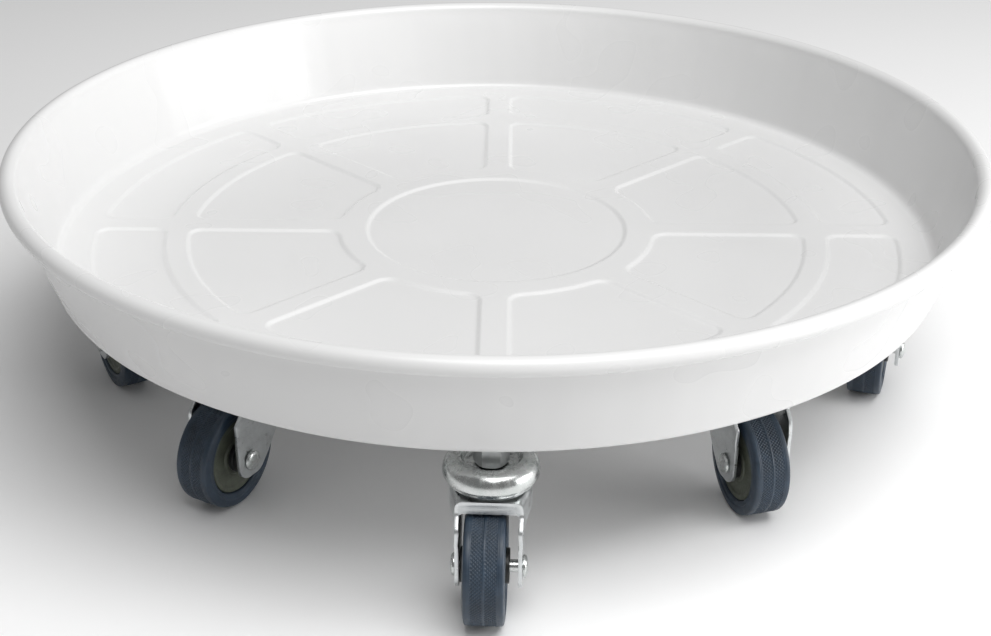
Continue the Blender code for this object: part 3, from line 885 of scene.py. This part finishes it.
def tyre_mesh(number):
    """The tyre: a knurled tread with a parting line, round shoulders and stepped side walls."""
    _, _, axle, centre = caster_frame(number)
    wheel = centre.z / MM
    low, high = reach(f"tyre_{number}", centre, axle)
    half = (high - low) / 2.0
    crown = half - TREAD_SHOULDER
    tread = [(wheel - TREAD_CROWN * (y / crown) ** 2, y) for y in np.linspace(crown, -crown, 85)]
    side = rounded([
        (wheel - TREAD_CROWN, crown, 0.0),
        (wheel - 0.3, half - 0.5, 2.3),
        (21.6, half, 1.0),
        (20.8, half, 0.5),
        (20.4, half - 0.5, 0.5),
        (18.6, half - 0.5, 0.4),
        (TYRE_BORE, half - 1.1, 0.3),
        (TYRE_BORE, 0.0, 0.0),
    ])[1:-1]
    profile = np.array(list(reversed(side)) + tread + [(r, -y) for r, y in side])
    angles = ring_angles(TREAD_COUNT * 6)[:, None]
    across = profile[None, :, 1]
    place_in_section = np.arange(len(profile))[None, :]
    on_tread = (place_in_section >= len(side)) & (place_in_section < len(side) + len(tread))
    relief = tread_height(angles, across) * smooth_step((crown - np.abs(across)) / 0.4)
    radius = profile[None, :, 0] + np.where(on_tread, relief, 0.0)
    return along_axle(grid_mesh("knurled_tyre", turned(radius, angles, across), True, True))


def hub_mesh(number):
    """The wheel centre: a rim that grips the tyre, a shallow dished web and a raised boss."""
    _, _, axle, centre = caster_frame(number)
    points = node_points(f"hub_{number}") - np.array(centre)
    along = points @ np.array(axle)
    rim = np.linalg.norm(points - along[:, None] * np.array(axle), axis=1) > 0.015
    half = (along[rim].max() - along[rim].min()) / MM / 2.0
    side = rounded([
        (HUB_BORE, 0.0, 0.0),
        (HUB_BORE, half + 0.6, 0.2),
        (8.6, half + 0.6, 0.4),
        (9.2, half - 0.2, 0.8),
        (14.8, half - 0.2, 0.8),
        (15.6, half + 0.5, 0.5),
        (17.6, half + 0.5, 0.4),
        (HUB_RIM, half - 0.6, 0.3),
        (HUB_RIM, 0.0, 0.0),
    ])[1:-1]
    return along_axle(lathe("wheel_centre", both_sides(side), 96, sharp=60.0))


def bushing_mesh(name, start, end):
    """A black collar between the wheel centre and an arm."""
    low, high = sorted((start, end))
    bore, rim = BUSHING_RADII
    section = rounded([(bore, low, 0.15), (rim, low, 0.35), (rim, high, 0.45), (bore, high, 0.15)])
    return along_axle(lathe(name, section, 72))


# ---------------------------------------------------------------- assembly


def build_tray(materials):
    mesh, underside = tray_mesh()
    plastic = materials["tray"]
    place("tray_moulding", mesh, Matrix.Identity(4), "tray", plastic, ["tray"])
    boss = boss_mesh(underside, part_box("lock_nut_1")[1].z / MM + 0.3)
    for number in range(1, CASTER_COUNT + 1):
        spot = Matrix.Translation(caster_frame(number)[0])
        place(f"stem_boss_{number}", boss, spot, "tray", plastic)


def shared_meshes():
    """The pieces that are the same on every caster, measured on the first one."""
    track, cage = race_meshes(1)
    _, _, axle, centre = caster_frame(1)
    low, high = reach("hub_1", centre, axle)
    near_start, far_start = BUSHING_STARTS
    return {
        "dome": dome_mesh(1),
        "stem": stem_mesh(1),
        "axle": axle_mesh(1),
        "fork": fork_mesh(1),
        "tyre": tyre_mesh(1),
        "hub": hub_mesh(1),
        "track": track,
        "cage": cage,
        "near_bushing": bushing_mesh("near_bushing", near_start, high),
        "far_bushing": bushing_mesh("far_bushing", far_start, low),
    }


def build_caster(number, meshes, materials):
    swivel, trail, axle, centre = caster_frame(number)
    upright = Matrix.Translation(swivel)
    turn = Matrix((trail, axle, (0.0, 0.0, 1.0))).transposed().to_4x4()
    trailing = upright @ turn
    wheel = Matrix.Translation(centre) @ turn
    offset = sum(reach(f"tyre_{number}", centre, axle)) / 2.0 * MM
    roll = Matrix.Rotation(math.radians(WHEEL_TURN * number), 4, "Y")
    rolled = wheel @ Matrix.Translation((0.0, offset, 0.0)) @ roll
    fork, spun = f"fork_{number}", f"wheel_{number}"
    pieces = [
        ("pressed_dome", meshes["dome"], upright, "tray", "bright", "polished_zinc", ["dome"]),
        ("hex_nut", nut_mesh(number), upright, "tray", "nut", "zinc_steel", ["lock_nut"]),
        ("threaded_kingpin", meshes["stem"], upright, "tray", "nut", "zinc_steel", ["stem"]),
        ("ball_cage", meshes["cage"], upright, "tray", "race", "zinc_steel", []),
        ("race_track", meshes["track"], trailing, fork, "zinc", "zinc_steel", []),
        ("pressed_fork", meshes["fork"], trailing, fork, "zinc", "zinc_steel", ["fork"]),
        ("axle_pin", meshes["axle"], wheel, fork, "bright", "polished_zinc", ["axle"]),
        ("knurled_tyre", meshes["tyre"], rolled, spun, "tyre", "tyre_rubber", ["tyre"]),
        ("wheel_centre", meshes["hub"], rolled, spun, "hub", "hub_plastic", ["hub"]),
        ("near_bushing", meshes["near_bushing"], wheel, spun, "bushing", "hub_plastic", []),
        ("far_bushing", meshes["far_bushing"], wheel, spun, "bushing", "hub_plastic", []),
    ]
    for name, mesh, matrix, body, material, slot, replaced in pieces:
        nodes = [f"{node}_{number}" for node in replaced]
        place(f"{name}_{number}", mesh, matrix, body, materials[material], nodes)


def build_casters(materials):
    meshes = shared_meshes()
    for number in range(1, CASTER_COUNT + 1):
        build_caster(number, meshes, materials)


# ---------------------------------------------------------------- studio


def build_floor():
    mesh = bpy.data.meshes.new("studio_floor")
    shape = bmesh.new()
    bmesh.ops.create_grid(shape, x_segments=4, y_segments=4, size=FLOOR_REACH)
    shape.to_mesh(mesh)
    shape.free()
    floor = bpy.data.objects.new("studio_floor", mesh)
    bpy.context.scene.collection.objects.link(floor)
    floor.location.z = -FLOOR_DROP
    shader = Shader("pale_floor", (0.86, 0.86, 0.86), 0.7)
    clouds = shader.noise(2.0, 2.0)
    shader.colour(shader.ramp(clouds, [(0.3, (0.855, 0.855, 0.855)), (0.7, (0.87, 0.87, 0.87))]))
    mesh.materials.append(shader.material)


def add_softbox(name, place_at, size, power):
    """A rectangular light in watts, aimed at the tray."""
    data = bpy.data.lights.new(name, "AREA")
    data.shape = "RECTANGLE"
    data.size, data.size_y = size
    data.energy = power
    light = bpy.data.objects.new(name, data)
    bpy.context.scene.collection.objects.link(light)
    light.location = place_at
    light.rotation_euler = (Vector(LIGHT_TARGET) - Vector(place_at)).to_track_quat("-Z", "Y").to_euler()


def build_lights():
    world = bpy.data.worlds.new("studio")
    world.use_nodes = True
    background = world.node_tree.nodes["Background"]
    background.inputs["Color"].default_value = (1.0, 1.0, 1.0, 1.0)
    background.inputs["Strength"].default_value = WORLD_STRENGTH
    bpy.context.scene.world = world
    add_softbox("right_box", (1.5, -0.30, 0.42), (1.2, 0.6), 14.0)
    add_softbox("overhead", (0.45, -0.65, 1.75), (1.7, 1.2), 38.0)


def build_camera():
    data = bpy.data.cameras.new("photo_camera")
    data.sensor_width = SENSOR_WIDTH
    data.lens = CAMERA_LENS
    camera = bpy.data.objects.new("photo_camera", data)
    bpy.context.scene.collection.objects.link(camera)
    level = Matrix.Rotation(math.radians(CAMERA_YAW), 4, "Z")
    down = Matrix.Rotation(math.radians(90.0 - CAMERA_DOWN), 4, "X")
    roll = Matrix.Rotation(math.radians(CAMERA_ROLL), 4, "Z")
    camera.matrix_world = Matrix.Translation(CAMERA_PLACE) @ level @ down @ roll
    bpy.context.scene.camera = camera


MATERIALS = {
    "tray": white_plastic(),
    "zinc": zinc_sheet(),
    "nut": zinc_sheet("zinc_plated_nut", (0.66, 0.675, 0.675), (0.36, 0.52), (1.0, 1.0, 1.0)),
    "bright": bright_zinc(),
    "tyre": tyre_rubber(),
    "hub": hub_plastic(),
    "bushing": black_bushing(),
    "race": oiled_steel(),
}
build_tray(MATERIALS)
build_casters(MATERIALS)
build_floor()
build_lights()
build_camera()
bpy.context.scene.view_settings.view_transform = "Standard"
